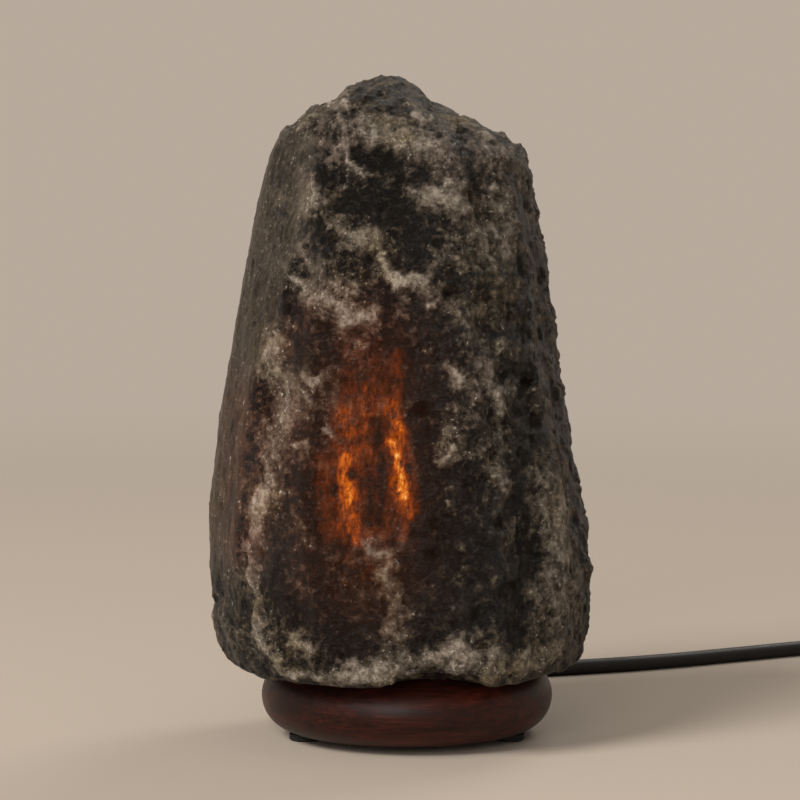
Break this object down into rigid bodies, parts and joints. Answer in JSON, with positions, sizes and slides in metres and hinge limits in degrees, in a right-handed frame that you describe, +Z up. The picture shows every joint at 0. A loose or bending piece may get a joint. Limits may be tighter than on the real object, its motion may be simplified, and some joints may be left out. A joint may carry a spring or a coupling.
{
  "type": "table lamp",
  "caption": "Salt crystal lamp: a rough dark rock salt block on a round turned wooden base, with a lamp holder inside and a corded switch and plug.",
  "frame": {"origin": "on the axis of the wooden base, at the level of the table it stands on", "axes": "+Z up, -Y towards the front of the lamp, +X to the lamp's right as seen from the front"},
  "size_m": [0.4476, 0.2702, 0.247],
  "materials": {
    "rock_salt": "rough broken dark rock salt with pale crust",
    "stained_wood": "turned hardwood, dark red-brown stain, satin varnish",
    "black_rubber": "matt",
    "zinc_steel": "zinc plated",
    "grey_nylon": "moulded",
    "black_thermoplastic": "moulded, fine grain",
    "porcelain": "unglazed",
    "brass": "stamped",
    "spring_steel": "rolled strip",
    "solder": "dull",
    "black_glass": "fused glass",
    "nickel_brass": "nickel plated",
    "clear_glass": "clear, blown",
    "hot_tungsten": "glowing coil",
    "black_pvc": "extruded and moulded, satin",
    "switch_plastic": "moulded",
    "rocker_plastic": "moulded"
  },
  "bodies": {
    "lamp": {"base_screws": "zinc_steel", "bulb_cap": "nickel_brass", "bulb_contact": "solder", "bulb_glass": "clear_glass", "bulb_insulator": "black_glass", "bulb_leads": "nickel_brass", "bulb_stem": "clear_glass", "centre_contact": "brass", "coil_tie": "grey_nylon", "cord_coil": "black_pvc", "cord_end": "black_pvc", "cord_grip": "black_thermoplastic", "cord_inside": "black_pvc", "cord_lead": "black_pvc", "cord_saddle": "zinc_steel", "cord_tail": "black_pvc", "filament": "hot_tungsten", "holder_body": "black_thermoplastic", "holder_cap": "black_thermoplastic", "holder_insert": "porcelain", "plug_body": "black_pvc", "plug_pins": "nickel_brass", "plug_relief": "black_pvc", "plug_sleeves": "black_thermoplastic", "rubber_foot_1": "black_rubber", "rubber_foot_2": "black_rubber", "rubber_foot_3": "black_rubber", "rubber_foot_4": "black_rubber", "saddle_screws": "zinc_steel", "salt_crystal": "rock_salt", "screw_plugs": "grey_nylon", "spring_clip": "spring_steel", "switch_bottom": "switch_plastic", "switch_relief_in": "black_pvc", "switch_relief_out": "black_pvc", "switch_screws": "zinc_steel", "switch_terminals": "brass", "switch_top": "switch_plastic", "terminal_screws": "brass", "threaded_shell": "brass", "wooden_base": "stained_wood"},
    "rocker": {"switch_rocker": "rocker_plastic"}
  },
  "joints": [
    {"name": "rocker_tilt", "type": "hinge", "parent": "lamp", "child": "rocker", "pos_m": [0.27662, 0.18459, 0.0125], "axis": [0.229, 0.9734, 0], "range_deg": [0, 16]}
  ]
}
